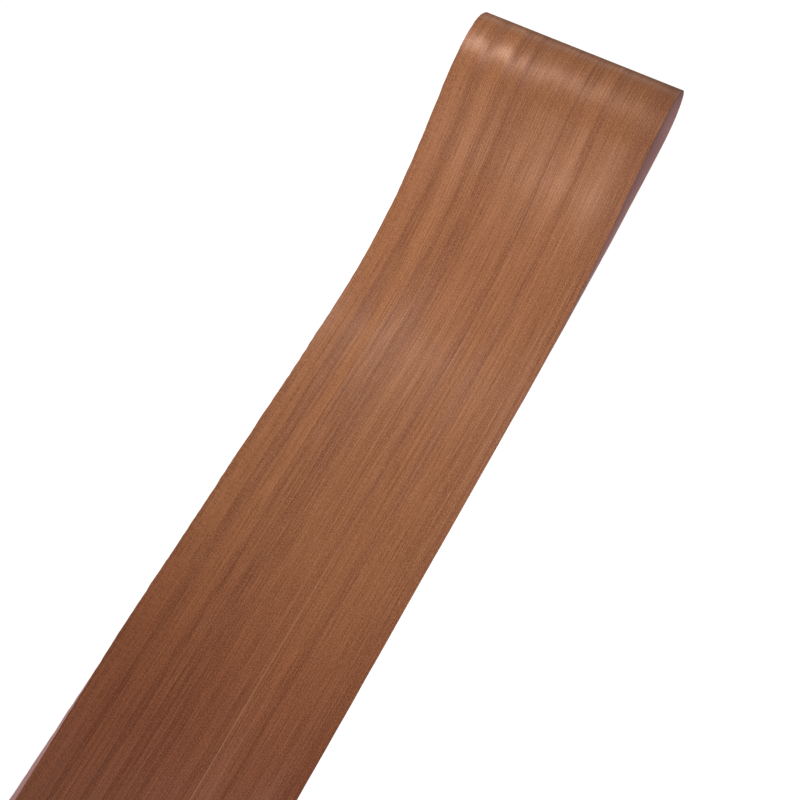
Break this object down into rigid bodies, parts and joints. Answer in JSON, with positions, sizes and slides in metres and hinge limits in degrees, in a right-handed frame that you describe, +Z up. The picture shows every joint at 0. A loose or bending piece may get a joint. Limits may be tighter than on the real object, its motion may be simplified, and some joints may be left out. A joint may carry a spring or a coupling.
{
  "type": "wood veneer sheet",
  "caption": "Long, narrow wood veneer sheet with a thin fleece back, lying folded back over itself with an open loop at the fold.",
  "frame": {"origin": "centre of the bounding box's base, on the floor face of the lower layer", "axes": "+X along the sheet towards the loop, +Y across the sheet towards its tapered edge, +Z up"},
  "size_m": [1.2158, 0.2, 0.1038],
  "materials": {
    "wood_face": "satin, reddish brown, quarter cut with a ribbon stripe",
    "fleece_back": "matte non-woven fleece, pinkish grey"
  },
  "bodies": {
    "root": {"veneer_leaf": "wood_face", "fleece_backing": "fleece_back"}
  },
  "joints": []
}
